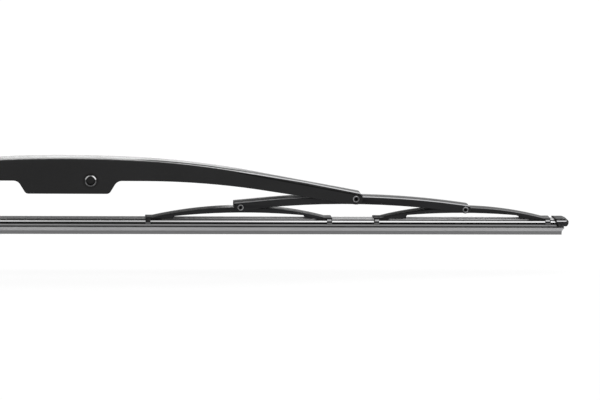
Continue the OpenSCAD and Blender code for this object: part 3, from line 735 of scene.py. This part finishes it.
# Rivets and arm pin, in millimetres: across its channel, shank, head, visible ring, hollow, depth, head height
RIVETS = {
    "arm_pin": (13.0, 2.8, 3.8, 0.95, 2.3, 1.0, 0.9),
    "main_rivet": (13.0, 1.3, 2.15, 0.75, 0.9, 2.2, 0.55),
    "inner_rivet": (10.4, 1.0, 1.95, 0.7, 0.75, 2.2, 0.55),
}


def quarter(first, step):
    """Angles up to a right angle, from one and in steps that are given in degrees."""
    return [math.radians(angle) for angle in range(first, 91, step)]


def rivet_outline(width, shank, head, ring, hollow, depth, thick):
    """Half the outline of a turned fastener, as radius and length along its axis: domed head first, rolled end last."""
    seat = width / 2
    crest, lip = head - ring * 0.45, head - ring
    dome = [(head * math.sin(t), -seat - thick * (0.3 + 0.7 * math.cos(t))) for t in quarter(0, 10)]
    rolled = [(crest + (head - crest) * math.cos(t), seat + thick * (0.25 + 0.75 * math.sin(t)))
              for t in quarter(0, 15)]
    flare = [(crest - (crest - lip) * math.sin(t), seat + thick * (0.55 + 0.45 * math.cos(t)))
             for t in quarter(15, 15)]
    throat = [(lip - (lip - hollow) * math.sin(t), seat + thick * 0.55 - (1.3 * thick) * (1 - math.cos(t)))
              for t in quarter(15, 15)]
    return (dome + [(head, -seat), (shank, -seat), (shank, seat), (head, seat)] + rolled + flare + throat
            + [(hollow, seat - depth), (hollow * 0.6, seat - depth - 0.25), (0, seat - depth - 0.35)])


def middle(node):
    low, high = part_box(node)
    return tuple((a + b) / 2 for a, b in zip(low, high))


def add_fasteners(body_of):
    pattern = turned_pattern()
    pin_steel = turned_steel("pin_steel", grey(0.09, 0.002), grey(0.99), True)
    rivet_steel = turned_steel("rivet_steel", grey(0.17, 0.003), grey(0.55, 0.01), False)
    hollow = hollow_steel()
    shade = black_paint("pin_recess", False)
    groups = {}
    for node in frame["nodes"]:
        if "rivet" in node or node == "arm_pin":
            groups.setdefault((body_of[node], node == "arm_pin"), []).append(node)
    for (body, is_pin), nodes in groups.items():
        nodes.sort(key=lambda node: middle(node)[X])
        sort = "arm_pin" if is_pin else "main_rivet" if "main_rivet" in nodes[0] else "inner_rivet"
        sizes = RIVETS[sort]
        head, ring = sizes[2:4]
        first, last = ((spot[X], 0.0, spot[Z]) for spot in (middle(nodes[0]), middle(nodes[-1])))
        piece = pattern.made(
            "arm_pin_piece" if is_pin else f"rivets_on_{body}", rivet_outline(*sizes), False,
            First=first, Last=last, Count=len(nodes), Facets=72, Hollow_radius=(head - ring * 0.95) * MM,
            Steel=pin_steel if is_pin else rivet_steel, Inside=shade if is_pin else hollow)
        smooth_by_angle(piece.data, SMOOTH_TURNED)
        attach(piece, body)
        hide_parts(*nodes)


# Squeegee and strips, in millimetres: outlines across the blade and over the wiping edge, their corners' radius,
# their ends' distances from the blade's middle, and the cylinder that hollows the rubber's ends

# The rubber's outline from its lip up to its head, one half
RUBBER_HALF = [(0.45, 0), (0.55, 2.35), (2.8, 4.75), (2.8, 5.2), (0.75, 5.35), (0.75, 6.35), (3.7, 6.5), (4.0, 6.8),
               (4.0, 7.65), (1.3, 7.65), (1.3, 10.15), (3.4, 10.15), (3.4, 10.75), (3.15, 11.0)]
STRIP_IN, STRIP_OUT, STRIP_LOW, STRIP_TOP = 1.4, 4.4, 9.1, 10.1
CORNER_RADIUS = 0.12
RUBBER_END, STRIP_END = 323.3, 321.0
CUT_RADIUS, CUT_X, CUT_Z = 8.8, 330.4, 1.2
# Where that cylinder stands for the lengths that it leaves alone: a metre over the blade
NO_CUT = (0, 0, 1.0)
# Lengths of one half, from the blade's middle: where each starts and ends, the two bodies it bends between,
# and where that bend starts and ends
LENGTHS = [
    (0.0, 33.0, "lever", "bridge", 33.0, 0.0),
    (33.0, 110.4, "inner_yoke_body", "lever", 49.0, 33.0),
    (110.4, 183.4, "inner_yoke_body", "lever", 171.0, 183.4),
    (183.4, 323.3, "lever", "outer_yoke_body", 183.4, 196.0),
]
# Distance between the cross sections along each length
SECTION_STEP = 1.6


def eased(points, radius, steps=3):
    """A closed outline with its corners rounded, apart from the flattest."""
    out = []
    for before, corner, after in zip(points[-1:] + points[:-1], points, points[1:] + points[:1]):
        corner = Vector(corner)
        arms = [Vector(p) - corner for p in (before, after)]
        angle = arms[0].angle(arms[1])
        if angle > math.radians(165):
            out.append(tuple(corner))
            continue
        reach = min(radius / math.tan(angle / 2), 0.4 * min(a.length for a in arms))
        start, end = (corner + a.normalized() * reach for a in arms)
        for i in range(steps + 1):
            t = i / steps
            out.append(tuple(start * (1 - t) ** 2 + corner * (2 * t * (1 - t)) + end * t ** 2))
    return out


def keep_place(mesh):
    """Stores where each point lies at rest, for the patterns of the finish."""
    kept = mesh.attributes.new(PLACE_KEPT, "FLOAT_VECTOR", "POINT")
    for point, vertex in zip(kept.data, mesh.vertices):
        point.vector = vertex.co


def over_edge(points):
    """An outline with its heights given over the wiping edge, moved to the frame's origin."""
    return [(y, z - PIN_Z) for y, z in points]


def add_squeegee(rubber, strip):
    pattern = drawn_pattern()
    whole = RUBBER_HALF + [(-y, z) for y, z in reversed(RUBBER_HALF)]
    outlines = {"squeegee_rubber": (eased(over_edge(whole), CORNER_RADIUS), rubber, RUBBER_END)}
    for name, way in (("front_strip", -1), ("rear_strip", 1)):
        # The outline's Y is turned by the sweep, so the front strip is drawn on the positive side
        corners = [(-way * STRIP_IN, STRIP_LOW), (-way * STRIP_OUT, STRIP_LOW), (-way * STRIP_OUT, STRIP_TOP),
                   (-way * STRIP_IN, STRIP_TOP)]
        outlines[name] = (eased(over_edge(corners), CORNER_RADIUS), strip, STRIP_END)
    for side, way in SIDES.items():
        cut = tuple(at(way * CUT_X, 0, CUT_Z))
        for number, (start, end, first, second, bend_from, bend_to) in enumerate(LENGTHS, 1):
            for name, (outline, finish, last) in outlines.items():
                stop = min(end, last)
                is_hollowed = name == "squeegee_rubber" and end == RUBBER_END
                piece = pattern.made(
                    f"{name}_{side}_{number}", outline, True,
                    From=tuple(at(way * start, 0, PIN_Z)), To=tuple(at(way * stop, 0, PIN_Z)),
                    Sections=int((stop - start) / SECTION_STEP) + 2, Cut_centre=cut if is_hollowed else NO_CUT,
                    Cut_radius=CUT_RADIUS * MM, Finish=finish)
                smooth_by_angle(piece.data, SMOOTH_DRAWN)
                keep_place(piece.data)
                tuple(at(way * bend_from, 0, 0))
                tuple(at(way * bend_to, 0, 0))
                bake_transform(piece)
                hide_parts(name)


# For each sort of pressed sheet: how strong its painted highlight beside the folds is, the distance from the middle
# plane at which that starts, in millimetres, whether its rising back is dull, and whether it has claws
PAINTS = {"bridge": (1.0, 3.4, False, False), "lever": (1.0, 2.6, True, False), "yoke": (0.4, 2.2, True, True)}


def build():
    paints = {sort: [black_paint(f"{sort}_{part}", part == "edges", *wear) for part in ("paint", "edges")]
              for sort, wear in PAINTS.items()}
    nylon = bush_nylon()
    plastic = cap_plastic()
    body_of = {node: body for body, nodes in frame["record"]["behaviour"]["bodies"].items() for node in nodes}
    for node in frame["nodes"]:
        sheet = [sort for sort in PAINTS if sort in node]
        if sheet:
            pressed_copy(node, body_of[node], *paints[sheet[0]])
        elif "cap" in node:
            moulded_copy(node, body_of[node], plastic)
        elif "bush" in node:
            mesh = frame["nodes"][node].data
            mesh.materials.clear()
            mesh.materials.append(nylon)
    add_fasteners(body_of)
    add_squeegee(squeegee_finish(), strip_steel())


add_camera()
Studio(1.0)
add_floor()
add_lights()
build()
bpy.context.scene.view_settings.view_transform = "Standard"
